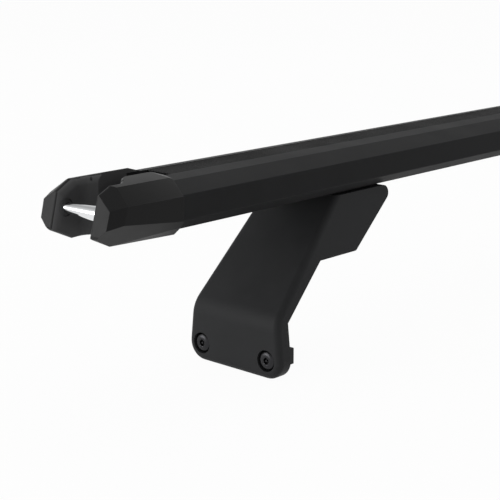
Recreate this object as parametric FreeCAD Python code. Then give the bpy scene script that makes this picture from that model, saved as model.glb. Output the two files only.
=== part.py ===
import FreeCAD, Part

import math
import os

# Roof rack crossbar: an eight-sided aluminium bar with a slot along its top, a forked cap with a
# steel tie-down pin on each end, and two cast feet that clamp into the channel under the bar.
# Millimetres. The bar runs along X and is mirrored about X = 0. Z = 0 is the bottom edge of the feet.

Vector = FreeCAD.Vector
FAR = 400.0  # longer than any piece that it cuts

# Whole crossbar
TIP_TO_TIP = 1524.0
FOOT_INSET = 141.8  # from the tip of a cap to the outer face of the foot's plate
BAR_UNDERSIDE = 119.3  # height of the bar's flat underside above the bottom edge of the feet

# Bar section, heights measured from its underside
BAR_HALF_WIDTH = 40.0
BAR_BOTTOM_HALF = 30.4
BAR_SIDE_LOW = 7.5
BAR_RIDGE = 23.0
BAR_TOP_HALF = 22.4
BAR_TOP = 29.0
BAR_TOP_SLOPE = 0.135  # rise of the two top faces towards the slot, per mm of width
BAR_WALL = 2.6
BAR_EDGE_RADIUS = 1.2

# Slot along the top
SLOT_MOUTH_HALF = 11.3
SLOT_INNER_HALF = 14.3
SLOT_LIP = 2.8
SLOT_DEPTH = 15.0

# Channel along the underside
CHANNEL_MOUTH_HALF = 6.0
CHANNEL_INNER_HALF = 12.0
CHANNEL_LIP = 2.8
CHANNEL_DEPTH = 9.0

# Strip in the top slot
STRIP_DROP = 1.3  # its top below the edge of the slot
STRIP_THICKNESS = 3.0
STRIP_CLEARANCE = 0.15
STRIP_KEEL_HALF = 4.0
STRIP_END = 74.0  # from the tip of a cap

# End cap, lengths measured from its tip
CAP_BAR_END = 55.4  # where the bar stops, just behind the side of the cap
CAP_SIDE_PROUD = 1.2
CAP_TOP_PROUD = 2.2
CAP_RIDGE_DROP = 0.4  # the cap's ridge below the bar's, at the rear
CAP_LOW_DROP = 1.8  # the cap's lower side edge below the bar's
CAP_KEEL_HALF = 24.0
CAP_KEEL_TAPER = 6.5
CAP_KEEL_DROP = 4.6
CAP_KEEL_FALL = 0.6  # fall of the keel from the rear of the cap to its nose
CAP_TOP_SLOPE = 0.2333
CAP_REAR_SIDE = 54.6
CAP_REAR_CENTRE = 67.7
CAP_TAPER = 5.6  # how far the side comes in from the rear to the nose
CAP_NOSE = 14.1  # where the side ridge meets the nose facets
CAP_RAKE = 0.265  # lean of the end face, per mm of height
TIP_KEEL_HEIGHT = 2.0  # lowest corner of the end face above the bar's underside
CAP_FIT = 0.15
PLUG_END = 78.0  # inner end of the two plugs that fill the bar's side hollows
PLUG_FIT = 0.4

# Fork and its root
FORK_HALF_GAP = 17.0  # at the corners of the root
FORK_HALF_MOUTH = 15.8  # at the tips, where the prongs lean in
FORK_ROOT = 31.7
FORK_CORNER = 6.6
FORK_CORNER_RADIUS = 9.0
FORK_TIP_RADIUS = 4.0
NOTCH_HALF = 10.4

# Tie-down pin
PIN_INSET = 10.7
PIN_HEIGHT = 14.9  # above the bar's underside
PIN_RADIUS = 5.1
PIN_POINT_RADIUS = 2.2
PIN_SEAT = 12.0  # how far it reaches into each prong
PIN_FIT = 0.05
PIN_RING_RADIUS = 4.8
PIN_RING_DEPTH = 0.8

# Screws that hold the cap, from below into the bar
CAP_SCREW_INSET = 59.0
CAP_SCREW_SPREAD = 18.0
CAP_SCREW_RADIUS = 2.0
CAP_SCREW_ACROSS = 6.0
CAP_SCREW_HEAD = 2.0
CAP_SCREW_SINK = 2.4  # from the keel up to the seat of the head
CAP_SCREW_REACH = 9.0  # above the bar's underside

# Small moulded hole in each prong's top, beside the root
CAP_DIMPLE_INSET = 29.5
CAP_DIMPLE_SPREAD = 14.3
CAP_DIMPLE_RADIUS = 0.9
CAP_DIMPLE_DEPTH = 1.5

# Foot casting, seen from the side, measured from the outer face of its plate
FOOT_PLATE = 11.5
FOOT_BEND_HEIGHT = 41.8
FOOT_BEND_RADIUS = 20.0
FOOT_ARM_SLOPE = 46.2  # degrees from level, front face of the arm
FOOT_ARM_BACK_HEIGHT = 39.7
FOOT_HEEL_HEIGHT = 75.7
FOOT_HEEL_X = 50.3
FOOT_HEEL_END = 91.0
FOOT_END_SLOPE = 38.5
FOOT_TOE_RADIUS = 5.5
FOOT_HEEL_RADIUS = 3.5
FOOT_HALF_BOTTOM = 44.7
FOOT_HALF_TOP = 32.2
FOOT_CORNER_RADIUS = 13.3
FOOT_EDGE_RADIUS = 4.5

# Hollow of the foot, open below and towards the middle of the bar
HOLLOW_ROOF = 8.3
HOLLOW_HALF = 22.0
HOLLOW_FRONT_WALL = 11.3
HOLLOW_RADIUS = 3.0

# Clamp between foot and bar
CLAMP_FROM_WALL = 14.3  # from the front wall of the hollow to the first bolt
CLAMP_SPACING = 26.0
CLAMP_SCREW_RADIUS = 4.0
CLAMP_HOLE_RADIUS = 4.4
CLAMP_HEAD_ACROSS = 13.0
CLAMP_HEAD = 5.3
CLAMP_PLATE_THICKNESS = 2.0
CLAMP_PLATE_HALF_WIDTH = 11.0
CLAMP_PLATE_OVERHANG = 10.0
NUT_HALF_WIDTH = 11.0
NUT_THICKNESS = 5.0
NUT_OVERHANG = 12.0  # past the outer bolts, each way
SEAT_GAP = 0.3  # between pieces that slide on each other when the clamp is loose

# Saddle pad on the head of the foot
SADDLE_THICKNESS = 1.2
SADDLE_HALF_WIDTH = 26.0
SADDLE_MARGIN = 2.0
SADDLE_CORNER_RADIUS = 3.0

# Mounting bolts in the plate
BOLT_HALF_SPACING = 30.4
BOLT_HEIGHT = 13.3
BOLT_RADIUS = 4.2
BOLT_THREAD_RADIUS = 3.95
BOLT_HOLE_RADIUS = 4.4
BOLT_HEAD_RADIUS = 7.0
BOLT_HEAD = 4.3
BOLT_SINK = 4.4
BOLT_SINK_RADIUS = 7.7
BOLT_STICKS_OUT = 6.0  # past the backing pad
SOCKET_ACROSS = 4.4
SOCKET_DEPTH = 2.2
SOCKET_PIN_RADIUS = 0.8

# Backing pad
PAD_THICKNESS = 7.5
PAD_LOW = 9.3
PAD_HIGH = 20.3
PAD_HALF_WIDTH = 40.0

TIP_X = -TIP_TO_TIP / 2
FOOT_X = TIP_X + FOOT_INSET
PAD_BACK_X = FOOT_X + FOOT_PLATE + PAD_THICKNESS
BAR_START_X = TIP_X + CAP_BAR_END
SLOT_EDGE = BAR_TOP + BAR_TOP_SLOPE * (BAR_TOP_HALF - SLOT_MOUTH_HALF)


def polygon_face(points):
    """Flat face inside straight edges through the points."""
    return Part.Face(Part.makePolygon(points + [points[0]]))


def prism_along_x(outline, x0, x1):
    """Solid of a (y, z) outline from x0 to x1."""
    face = polygon_face([Vector(x0, y, z) for y, z in outline])
    return face.extrude(Vector(x1 - x0, 0, 0))


def prism_along_y(outline, half):
    """Solid of an (x, z) outline, as deep as half on both sides of the middle."""
    face = polygon_face([Vector(x, -half, z) for x, z in outline])
    return face.extrude(Vector(0, 2 * half, 0))


def prism_along_z(outline, z0, z1):
    """Solid of an (x, y) outline from z0 to z1."""
    face = polygon_face([Vector(x, y, z0) for x, y in outline])
    return face.extrude(Vector(0, 0, z1 - z0))


def box(x0, x1, y0, y1, z0, z1):
    return Part.makeBox(x1 - x0, y1 - y0, z1 - z0, Vector(x0, y0, z0))


def rod(radius, start, end):
    axis = end - start
    return Part.makeCylinder(radius, axis.Length, start, axis)


def hexagon(across, centre, first, second):
    """Six-sided face about a centre, in the plane of two directions."""
    corners = []
    for k in range(6):
        angle = math.radians(60 * k)
        reach = across / math.sqrt(3)
        corners.append(centre + first * (reach * math.cos(angle)) + second * (reach * math.sin(angle)))
    return polygon_face(corners)


def mirrored(shape, normal):
    return shape.mirror(Vector(0, 0, 0), normal)


def both_sides(half):
    """The half at y > 0 joined to its mirror image."""
    return half.fuse(mirrored(half, Vector(0, 1, 0))).removeSplitter()


def trimmed(shape, corners, kept):
    """Shape without what lies beyond the plane of three corners, seen from the kept point."""
    a, b, c = corners
    normal = (b - a).cross(c - a)
    normal.normalize()
    if (kept - a).dot(normal) > 0:
        normal = normal * -1
    beyond = Part.makeBox(FAR, FAR, FAR, Vector(-FAR / 2, -FAR / 2, 0))
    beyond.Placement = FreeCAD.Placement(a, FreeCAD.Rotation(Vector(0, 0, 1), normal))
    return shape.cut(beyond)


def on_bar(height):
    """Height above the ground of a height above the bar's underside."""
    return BAR_UNDERSIDE + height


def bar_half_outline(grow=0.0):
    """Corners of the bar's outer section at y > 0, from the underside to the slot, offset outwards."""
    side = BAR_HALF_WIDTH + grow
    low_run = BAR_HALF_WIDTH - BAR_BOTTOM_HALF
    low_angle = math.atan2(BAR_SIDE_LOW, low_run)
    top_angle = math.atan2(BAR_TOP - BAR_RIDGE, BAR_HALF_WIDTH - BAR_TOP_HALF)
    roof_angle = math.atan(BAR_TOP_SLOPE)
    return [
        (BAR_BOTTOM_HALF + grow * math.tan(low_angle / 2), on_bar(-grow)),
        (side, on_bar(BAR_SIDE_LOW - grow * math.tan((math.pi / 2 - low_angle) / 2))),
        (side, on_bar(BAR_RIDGE + grow * math.tan((math.pi / 2 - top_angle) / 2))),
        (BAR_TOP_HALF + grow * math.sin((top_angle + roof_angle) / 2), on_bar(BAR_TOP) + grow),
        (0, on_bar(BAR_TOP + BAR_TOP_SLOPE * BAR_TOP_HALF) + grow),
    ]


def closed_outline(half):
    """Whole section from the corners of its half at y > 0."""
    return half + [(-y, z) for y, z in reversed(half) if y > 0]


def long_edges(shape, corners):
    """Edges that run along X through the given (y, z) corners."""
    found = []
    for edge in shape.Edges:
        start, end = edge.Vertexes[0].Point, edge.Vertexes[-1].Point
        along_x = abs(start.y - end.y) < 1e-6 and abs(start.z - end.z) < 1e-6
        if along_x and any(abs(start.y - y) + abs(start.z - z) < 1e-3 for y, z in corners):
            found.append(edge)
    return found


def side_hollow(shrink=0.0):
    """Corners of the hollow in one side of the bar, or of a plug that is smaller by shrink all round."""
    wall = BAR_WALL + shrink
    inner = bar_half_outline(-wall)
    slot_side = SLOT_INNER_HALF + wall
    channel_side = CHANNEL_INNER_HALF + wall
    return [
        (channel_side, inner[0][1]),
        inner[0],
        inner[1],
        inner[2],
        inner[3],
        (slot_side, inner[3][1] + BAR_TOP_SLOPE * (inner[3][0] - slot_side)),
        (slot_side, on_bar(SLOT_EDGE - SLOT_DEPTH) - wall),
        (channel_side, on_bar(CHANNEL_DEPTH) + wall),
    ]


def bar_extrusion():
    """Hollow bar: outer wall, slot above, channel below, and the webs that join them."""
    x0, x1 = BAR_START_X, -BAR_START_X
    outline = closed_outline(bar_half_outline())
    bar = prism_along_x(outline, x0, x1)
    bar = bar.makeFillet(BAR_EDGE_RADIUS, long_edges(bar, [corner for corner in outline if corner[0] != 0]))

    web = BAR_WALL
    slot_floor = on_bar(SLOT_EDGE - SLOT_DEPTH)
    channel_roof = on_bar(CHANNEL_DEPTH)
    for sign in (1, -1):
        bar = bar.cut(prism_along_x([(sign * y, z) for y, z in side_hollow()], x0, x1))
    middle = CHANNEL_INNER_HALF
    bar = bar.cut(prism_along_x(rectangle(middle, channel_roof + web, slot_floor - web), x0, x1))

    bar = bar.cut(box(x0, x1, -SLOT_MOUTH_HALF, SLOT_MOUTH_HALF, slot_floor, on_bar(FAR)))
    lip_under = on_bar(SLOT_EDGE - SLOT_LIP)
    bar = bar.cut(prism_along_x(rectangle(SLOT_INNER_HALF, slot_floor, lip_under), x0, x1))
    bar = bar.cut(box(x0, x1, -CHANNEL_MOUTH_HALF, CHANNEL_MOUTH_HALF, -FAR, channel_roof))
    bar = bar.cut(prism_along_x(rectangle(CHANNEL_INNER_HALF, on_bar(CHANNEL_LIP), channel_roof), x0, x1))
    for x, y in cap_screw_places():
        hole = rod(CAP_SCREW_RADIUS, Vector(x, y, 0), Vector(x, y, on_bar(BAR_WALL + 1)))
        bar = bar.cut(hole)
        bar = bar.cut(mirrored(hole, Vector(1, 0, 0)))
    return bar


def rectangle(half, z0, z1):
    return [(-half, z0), (half, z0), (half, z1), (-half, z1)]


def slot_infill_strip():
    """Strip that lies in the top slot, with a keel that stands on the slot's floor."""
    x0, x1 = TIP_X + STRIP_END, -TIP_X - STRIP_END
    top = on_bar(SLOT_EDGE - STRIP_DROP)
    half = SLOT_MOUTH_HALF - STRIP_CLEARANCE
    floor = on_bar(SLOT_EDGE - SLOT_DEPTH)
    outline = [
        (STRIP_KEEL_HALF, floor),
        (STRIP_KEEL_HALF, top - STRIP_THICKNESS),
        (half, top - STRIP_THICKNESS),
        (half, top - 0.6),
        (half - 1.5, top),
    ]
    return prism_along_x(closed_outline(outline), x0, x1)


def cap_corner(name, inset):
    """Corner of the cap's section at a distance from its tip, as a point at y > 0."""
    rear = CAP_REAR_SIDE
    share = (rear - inset) / (rear - CAP_NOSE)
    side = BAR_HALF_WIDTH + CAP_SIDE_PROUD - CAP_TAPER * share
    x = TIP_X + inset
    if name == "roof":
        return Vector(x, 0, on_bar(BAR_TOP + CAP_TOP_PROUD) + CAP_TOP_SLOPE * BAR_TOP_HALF)
    if name == "shoulder":
        return Vector(x, BAR_TOP_HALF, on_bar(BAR_TOP + CAP_TOP_PROUD))
    if name == "ridge":
        return Vector(x, side, on_bar(BAR_RIDGE - CAP_RIDGE_DROP - 1.2 * share))
    if name == "low":
        return Vector(x, side, on_bar(BAR_SIDE_LOW - CAP_LOW_DROP - 0.1 * share))
    keel = on_bar(-CAP_KEEL_DROP - CAP_KEEL_FALL * share)
    return Vector(x, CAP_KEEL_HALF - CAP_KEEL_TAPER * share if name == "keel" else 0, keel)


def cap_half_body():
    """Faceted body of half a cap, before the fork and the sleeve are cut out of it."""
    names = ["roof", "shoulder", "ridge", "low", "keel", "floor"]
    wires = []
    for inset in (-8.0, CAP_REAR_CENTRE + 10.0):
        corners = [cap_corner(name, inset) for name in names]
        wires.append(Part.makePolygon(corners + [corners[0]]))
    body = Part.makeLoft(wires, True, True)

    inside = Vector(TIP_X + FORK_ROOT, FORK_HALF_GAP, on_bar(BAR_SIDE_LOW))
    half = BAR_HALF_WIDTH
    tip_high = Vector(TIP_X + 4.6, half - 9.8, on_bar(BAR_RIDGE - 3.7))
    tip_low = Vector(TIP_X + 1.6, half - 10.1, on_bar(BAR_SIDE_LOW + 0.6))
    tip_keel = Vector(TIP_X, half - 17.5, on_bar(TIP_KEEL_HEIGHT))
    nose_ridge = cap_corner("ridge", CAP_NOSE)
    nose_shoulder = cap_corner("shoulder", 17.5)
    nose_keel = cap_corner("keel", 14.8)
    across = Vector(0, 10, 0)
    body = trimmed(body, (tip_high, tip_keel, tip_keel - across), inside)
    body = trimmed(body, (tip_high, nose_ridge, nose_shoulder), inside)
    body = trimmed(body, (tip_high, tip_low, nose_ridge), inside)
    body = trimmed(body, (tip_low, tip_keel, nose_keel), inside)
    body = trimmed(body, (tip_keel, nose_keel, nose_keel - across), inside)

    rear_side = Vector(TIP_X + CAP_REAR_SIDE, BAR_HALF_WIDTH + CAP_SIDE_PROUD, 0)
    rear_slot = Vector(TIP_X + CAP_REAR_CENTRE, SLOT_MOUTH_HALF, on_bar(SLOT_EDGE))
    body = trimmed(body, (rear_side, rear_slot, rear_slot + Vector(0, 0, 10)), inside)
    ramp_top = cap_corner("roof", CAP_REAR_CENTRE - 11.5)
    ramp_top = ramp_top + Vector(0, NOTCH_HALF, -CAP_TOP_SLOPE * NOTCH_HALF)
    ramp_outer = cap_corner("shoulder", CAP_REAR_CENTRE - 7.0)
    body = trimmed(body, (ramp_top, ramp_outer, rear_slot), inside)
    floor_start = cap_corner("floor", CAP_REAR_CENTRE - 5.5)
    floor_end = Vector(TIP_X + CAP_REAR_CENTRE + 1.0, 0, on_bar(0))
    return trimmed(body, (floor_start, floor_end, floor_end + across), inside)


def fork_slope():
    """Lean of the prongs' inner walls, per mm along the bar."""
    return (FORK_HALF_GAP - FORK_HALF_MOUTH) / (FORK_ROOT - FORK_CORNER)


def fork_half(inset):
    """Half the gap between the prongs at a distance from their tips."""
    return FORK_HALF_MOUTH + fork_slope() * inset


def fork_gap():
    """Space between the prongs, with rounded corners at the root."""
    root = TIP_X + FORK_ROOT
    corner = root - FORK_CORNER
    outline = [
        (TIP_X - 10, fork_half(-10)),
        (corner, FORK_HALF_GAP),
        (root, NOTCH_HALF),
        (root, -NOTCH_HALF),
        (corner, -FORK_HALF_GAP),
        (TIP_X - 10, -fork_half(-10)),
    ]
    gap = prism_along_z(outline, 0, FAR)
    upright = [edge for edge in gap.Edges if edge.Length > FAR / 2]
    bends = [edge for edge in upright if abs(edge.CenterOfMass.x - corner) < 1e-6]
    return gap.makeFillet(FORK_CORNER_RADIUS, bends)


def fork_mouth():
    """Rounding of both inner walls into the leaning end face, at y > 0 and its mirror image."""
    radius = FORK_TIP_RADIUS
    base_z = on_bar(-20)
    inset = CAP_RAKE * (base_z - on_bar(TIP_KEEL_HEIGHT))
    corner = Vector(TIP_X + inset, fork_half(inset), base_z)
    outwards = Vector(0, 1, 0)
    inwards = Vector(1, fork_slope(), 0).normalize()
    half = outwards.getAngle(inwards) / 2
    start = corner + outwards * (radius / math.tan(half))
    end = corner + inwards * (radius / math.tan(half))
    middle = corner + (outwards + inwards).normalize() * (radius / math.sin(half) - radius)
    outside = [end, end - outwards, corner - Vector(10, 1, 0), Vector(corner.x - 10, start.y, base_z), start]
    edges = [Part.Arc(start, middle, end).toShape()]
    for first, second in zip(outside, outside[1:]):
        edges.append(Part.LineSegment(first, second).toShape())
    rise = FAR / 4
    lean = Vector(CAP_RAKE * rise, fork_slope() * CAP_RAKE * rise, rise)
    mouth = Part.Face(Part.Wire(edges)).extrude(lean)
    return [mouth, mirrored(mouth, Vector(0, 1, 0))]


def end_cap():
    """Moulded cap of the left end: sleeve, root with the slot through it, and two prongs."""
    root = TIP_X + FORK_ROOT
    slot_floor = on_bar(SLOT_EDGE - SLOT_DEPTH)
    sleeve = prism_along_x(closed_outline(bar_half_outline(CAP_FIT)), BAR_START_X - CAP_FIT, FAR)
    notch = box(root - 1, BAR_START_X + FAR, -NOTCH_HALF, NOTCH_HALF, slot_floor, FAR)
    cap = both_sides(cap_half_body())
    for tool in [sleeve, fork_gap(), notch, tie_down_pin(PIN_FIT)] + fork_mouth():
        cap = cap.cut(tool)
    for sign in (1, -1):
        plug = [(sign * y, z) for y, z in side_hollow(PLUG_FIT)]
        cap = cap.fuse(prism_along_x(plug, BAR_START_X - 1, TIP_X + PLUG_END))
    start = Vector(TIP_X + PIN_INSET, fork_half(PIN_INSET) - 1, on_bar(PIN_HEIGHT))
    cap = cap.cut(rod(PIN_RING_RADIUS, start, start + Vector(0, 1 + PIN_RING_DEPTH, 0)))
    for x, y in cap_screw_places():
        cap = cap.cut(rod(CAP_SCREW_RADIUS, Vector(x, y, 0), Vector(x, y, on_bar(CAP_SCREW_REACH + 1))))
        well = hexagon(CAP_SCREW_ACROSS + 1, Vector(x, y, 0), Vector(1, 0, 0), Vector(0, 1, 0))
        cap = cap.cut(well.extrude(Vector(0, 0, on_bar(-CAP_KEEL_DROP + CAP_SCREW_SINK))))
    for sign in (1, -1):
        top = Vector(TIP_X + CAP_DIMPLE_INSET, sign * CAP_DIMPLE_SPREAD, on_bar(SLOT_EDGE + FAR))
        cap = cap.cut(rod(CAP_DIMPLE_RADIUS, top, top - Vector(0, 0, FAR + CAP_DIMPLE_DEPTH)))
    return cap


def cap_screw_places():
    """The (x, y) of the two screws of the left cap."""
    return [(TIP_X + CAP_SCREW_INSET, sign * CAP_SCREW_SPREAD) for sign in (1, -1)]


def end_cap_screws():
    """Hexagon-head screws of the left cap, up through its floor into the bar."""
    screws = []
    for x, y in cap_screw_places():
        seat = Vector(x, y, on_bar(-CAP_KEEL_DROP + CAP_SCREW_SINK))
        head = hexagon(CAP_SCREW_ACROSS, seat, Vector(1, 0, 0), Vector(0, 1, 0))
        head = head.extrude(Vector(0, 0, -CAP_SCREW_HEAD))
        shank = rod(CAP_SCREW_RADIUS, seat, Vector(x, y, on_bar(CAP_SCREW_REACH)))
        screws.append(shank.fuse(head).removeSplitter())
    return Part.makeCompound(screws)


def tie_down_pin(clearance=0.0):
    """Steel pin across the fork: full in the near prong, tapering evenly to a thin end in the far one."""
    x, z = TIP_X + PIN_INSET, on_bar(PIN_HEIGHT)
    near, far = -FORK_HALF_GAP - PIN_SEAT, FORK_HALF_GAP + PIN_SEAT * 0.6
    full, thin = PIN_RADIUS + clearance, PIN_POINT_RADIUS + clearance
    outline = [
        Vector(x, near - clearance, z),
        Vector(x, near - clearance, z + full),
        Vector(x, -FORK_HALF_GAP, z + full),
        Vector(x, FORK_HALF_GAP, z + thin),
        Vector(x, far + clearance, z + thin),
        Vector(x, far + clearance, z),
    ]
    return polygon_face(outline).revolve(Vector(x, 0, z), Vector(0, 1, 0), 360)


def rounded_profile(corners):
    """Face in the plane y = 0 through (x, z, radius) corners, each rounded by its radius."""
    points = [Vector(x, 0, z) for x, z, _ in corners]
    radii = [radius for _, _, radius in corners]
    count = len(points)
    starts, ends, arcs = [], [], []
    for i in range(count):
        here, before, after = points[i], points[i - 1], points[(i + 1) % count]
        back = (before - here).normalize()
        on = (after - here).normalize()
        if radii[i] == 0:
            starts.append(here)
            ends.append(here)
            arcs.append(None)
            continue
        half = back.getAngle(on) / 2
        reach = radii[i] / math.tan(half)
        bisector = (back + on).normalize()
        middle = here + bisector * (radii[i] / math.sin(half) - radii[i])
        starts.append(here + back * reach)
        ends.append(here + on * reach)
        arcs.append(Part.Arc(here + back * reach, middle, here + on * reach).toShape())
    edges = []
    for i in range(count):
        if arcs[i]:
            edges.append(arcs[i])
        following = (i + 1) % count
        edges.append(Part.LineSegment(ends[i], starts[following]).toShape())
    return Part.Face(Part.Wire(edges))


def foot_front_x(height):
    """Distance from the plate of the arm's front face at a height."""
    return FOOT_X + (height - FOOT_BEND_HEIGHT) / math.tan(math.radians(FOOT_ARM_SLOPE))


def clamp_places():
    """Places along the bar of the two clamp bolts of the left foot."""
    first = foot_front_x(BAR_UNDERSIDE - HOLLOW_ROOF) + HOLLOW_FRONT_WALL + CLAMP_FROM_WALL
    return [first, first + CLAMP_SPACING]


def foot_end_x(height):
    """Distance from the plate of the foot's inner end at a height."""
    return FOOT_X + FOOT_HEEL_END + (height - FOOT_HEEL_HEIGHT) / math.tan(math.radians(FOOT_END_SLOPE))


def foot_casting():
    """Cast leg of the left end: upright plate, slanting arm and hollow head under the bar."""
    top = BAR_UNDERSIDE - SEAT_GAP - SADDLE_THICKNESS
    side = rounded_profile([
        (FOOT_X, 0, 0),
        (FOOT_X, FOOT_BEND_HEIGHT, FOOT_BEND_RADIUS),
        (foot_front_x(top), top, 0),
        (foot_end_x(top), top, FOOT_TOE_RADIUS),
        (FOOT_X + FOOT_HEEL_END, FOOT_HEEL_HEIGHT, FOOT_HEEL_RADIUS),
        (FOOT_X + FOOT_HEEL_X, FOOT_HEEL_HEIGHT, 0),
        (FOOT_X + FOOT_PLATE, FOOT_ARM_BACK_HEIGHT, 0),
        (FOOT_X + FOOT_PLATE, 0, 0),
    ])
    side.translate(Vector(0, -FAR / 2, 0))
    foot = side.extrude(Vector(0, FAR, 0))

    lean = (FOOT_HALF_BOTTOM - FOOT_HALF_TOP) / BAR_UNDERSIDE
    front = [
        (-FOOT_HALF_BOTTOM, 0),
        (FOOT_HALF_BOTTOM, 0),
        (FOOT_HALF_BOTTOM - lean * top, top),
        (-FOOT_HALF_BOTTOM + lean * top, top),
    ]
    slab = prism_along_x(front, FOOT_X - 1, FOOT_X + FAR)
    low_edges = [edge for edge in slab.Edges if edge.CenterOfMass.z < 1e-6 and abs(edge.CenterOfMass.y) > 1]
    slab = slab.makeFillet(FOOT_CORNER_RADIUS, low_edges)
    foot = foot.common(slab)
    foot = foot.makeFillet(FOOT_EDGE_RADIUS, outer_edges(foot))

    roof = BAR_UNDERSIDE - HOLLOW_ROOF
    heel_x = FOOT_X + FOOT_HEEL_X + 1.5
    hollow = [
        (heel_x, FOOT_HEEL_HEIGHT - 5),
        (heel_x, FOOT_HEEL_HEIGHT),
        (foot_front_x(roof) + HOLLOW_FRONT_WALL, roof),
        (FOOT_X + FAR, roof),
        (FOOT_X + FAR, FOOT_HEEL_HEIGHT - 5),
    ]
    cavity = prism_along_y(hollow, HOLLOW_HALF)
    foot = foot.cut(cavity)
    for x in clamp_places():
        foot = foot.cut(rod(CLAMP_HOLE_RADIUS, Vector(x, 0, roof - 1), Vector(x, 0, top + 1)))
    for sign in (1, -1):
        start = Vector(FOOT_X, sign * BOLT_HALF_SPACING, BOLT_HEIGHT)
        foot = foot.cut(rod(BOLT_SINK_RADIUS, start, start + Vector(BOLT_SINK, 0, 0)))
        foot = foot.cut(rod(BOLT_HOLE_RADIUS, start, start + Vector(FOOT_PLATE + 1, 0, 0)))
    return foot


def outer_edges(foot):
    """Edges between the side faces of the foot and its front, top and bottom."""
    found = []
    for edge in foot.Edges:
        points = edge.discretize(5)
        middle = points[2]
        across = max(abs(point.y - middle.y) for point in points)
        outside = abs(middle.y) > FOOT_HALF_TOP - 6
        front = middle.x < foot_front_x(middle.z) + 1 or middle.x < FOOT_X + 1
        if outside and front and across < FAR:
            found.append(edge)
    return found


def mounting_bolts():
    """Button-head bolts through the plate and the pad, with a pin in the socket."""
    bolts = []
    for sign in (1, -1):
        centre = Vector(FOOT_X + BOLT_SINK, sign * BOLT_HALF_SPACING, BOLT_HEIGHT)
        crown = centre - Vector(BOLT_HEAD, 0, 0)
        head = rod(BOLT_HEAD_RADIUS, centre, crown)
        socket = hexagon(SOCKET_ACROSS, crown - Vector(1, 0, 0), Vector(0, 1, 0), Vector(0, 0, 1))
        head = head.cut(socket.extrude(Vector(1 + SOCKET_DEPTH, 0, 0)))
        pin = rod(SOCKET_PIN_RADIUS, crown + Vector(0.4, 0, 0), crown + Vector(SOCKET_DEPTH, 0, 0))
        pad_back = Vector(PAD_BACK_X, centre.y, centre.z)
        shank = rod(BOLT_RADIUS, centre, pad_back)
        thread = rod(BOLT_THREAD_RADIUS, pad_back, pad_back + Vector(BOLT_STICKS_OUT, 0, 0))
        bolts.append(head.fuse([pin, shank, thread]).removeSplitter())
    return Part.makeCompound(bolts)


def backing_pad():
    """Strip behind the plate at the height of the bolts."""
    plate_back = FOOT_X + FOOT_PLATE
    pad = box(plate_back, PAD_BACK_X, -PAD_HALF_WIDTH, PAD_HALF_WIDTH, PAD_LOW, PAD_HIGH)
    upright = [edge for edge in pad.Edges if abs(edge.Vertexes[0].Y - edge.Vertexes[1].Y) < 1e-6]
    pad = pad.makeFillet(1.0, [edge for edge in upright if edge.CenterOfMass.x > PAD_BACK_X - 1e-6])
    for sign in (1, -1):
        start = Vector(plate_back - 1, sign * BOLT_HALF_SPACING, BOLT_HEIGHT)
        pad = pad.cut(rod(BOLT_HOLE_RADIUS, start, start + Vector(PAD_THICKNESS + 2, 0, 0)))
    return pad


def channel_nut():
    """Nut plate in the bar's channel, threaded for the clamp bolts."""
    bottom = on_bar(CHANNEL_LIP + SEAT_GAP)
    first, last = clamp_places()
    x0, x1 = first - NUT_OVERHANG, last + NUT_OVERHANG
    nut = box(x0, x1, -NUT_HALF_WIDTH, NUT_HALF_WIDTH, bottom, bottom + NUT_THICKNESS)
    for x in clamp_places():
        nut = nut.cut(rod(CLAMP_SCREW_RADIUS, Vector(x, 0, bottom - 1), Vector(x, 0, on_bar(FAR))))
    return nut


def clamp_plate():
    """Plate that spreads the load of both clamp bolts over the roof of the hollow."""
    roof = BAR_UNDERSIDE - HOLLOW_ROOF
    first, last = clamp_places()
    x0, x1 = first - CLAMP_PLATE_OVERHANG, last + CLAMP_PLATE_OVERHANG
    half = CLAMP_PLATE_HALF_WIDTH
    plate = box(x0, x1, -half, half, roof - CLAMP_PLATE_THICKNESS, roof)
    for x in clamp_places():
        plate = plate.cut(rod(CLAMP_HOLE_RADIUS, Vector(x, 0, 0), Vector(x, 0, roof + 1)))
    return plate


def clamp_bolts():
    """Hexagon-head bolts from the hollow of the foot up into the nut plate."""
    seat = BAR_UNDERSIDE - HOLLOW_ROOF - CLAMP_PLATE_THICKNESS
    end = on_bar(CHANNEL_LIP + SEAT_GAP) + NUT_THICKNESS
    bolts = []
    for x in clamp_places():
        head = hexagon(CLAMP_HEAD_ACROSS, Vector(x, 0, seat), Vector(1, 0, 0), Vector(0, 1, 0))
        head = head.extrude(Vector(0, 0, -CLAMP_HEAD))
        shank = rod(CLAMP_SCREW_RADIUS, Vector(x, 0, seat), Vector(x, 0, end))
        bolts.append(head.fuse(shank).removeSplitter())
    return Part.makeCompound(bolts)


def foot_saddle_pad():
    """Thin pad between the head of the foot and the underside of the bar."""
    top = BAR_UNDERSIDE - SEAT_GAP
    bottom = top - SADDLE_THICKNESS
    x0, x1 = foot_front_x(bottom) + SADDLE_MARGIN, foot_end_x(bottom) - FOOT_TOE_RADIUS * 2 - SADDLE_MARGIN
    pad = box(x0, x1, -SADDLE_HALF_WIDTH, SADDLE_HALF_WIDTH, bottom, top)
    upright = [edge for edge in pad.Edges if abs(edge.Vertexes[0].Z - edge.Vertexes[1].Z) > 0.5]
    pad = pad.makeFillet(SADDLE_CORNER_RADIUS, upright)
    for x in clamp_places():
        pad = pad.cut(rod(CLAMP_HOLE_RADIUS, Vector(x, 0, bottom - 1), Vector(x, 0, top + 1)))
    return pad


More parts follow.
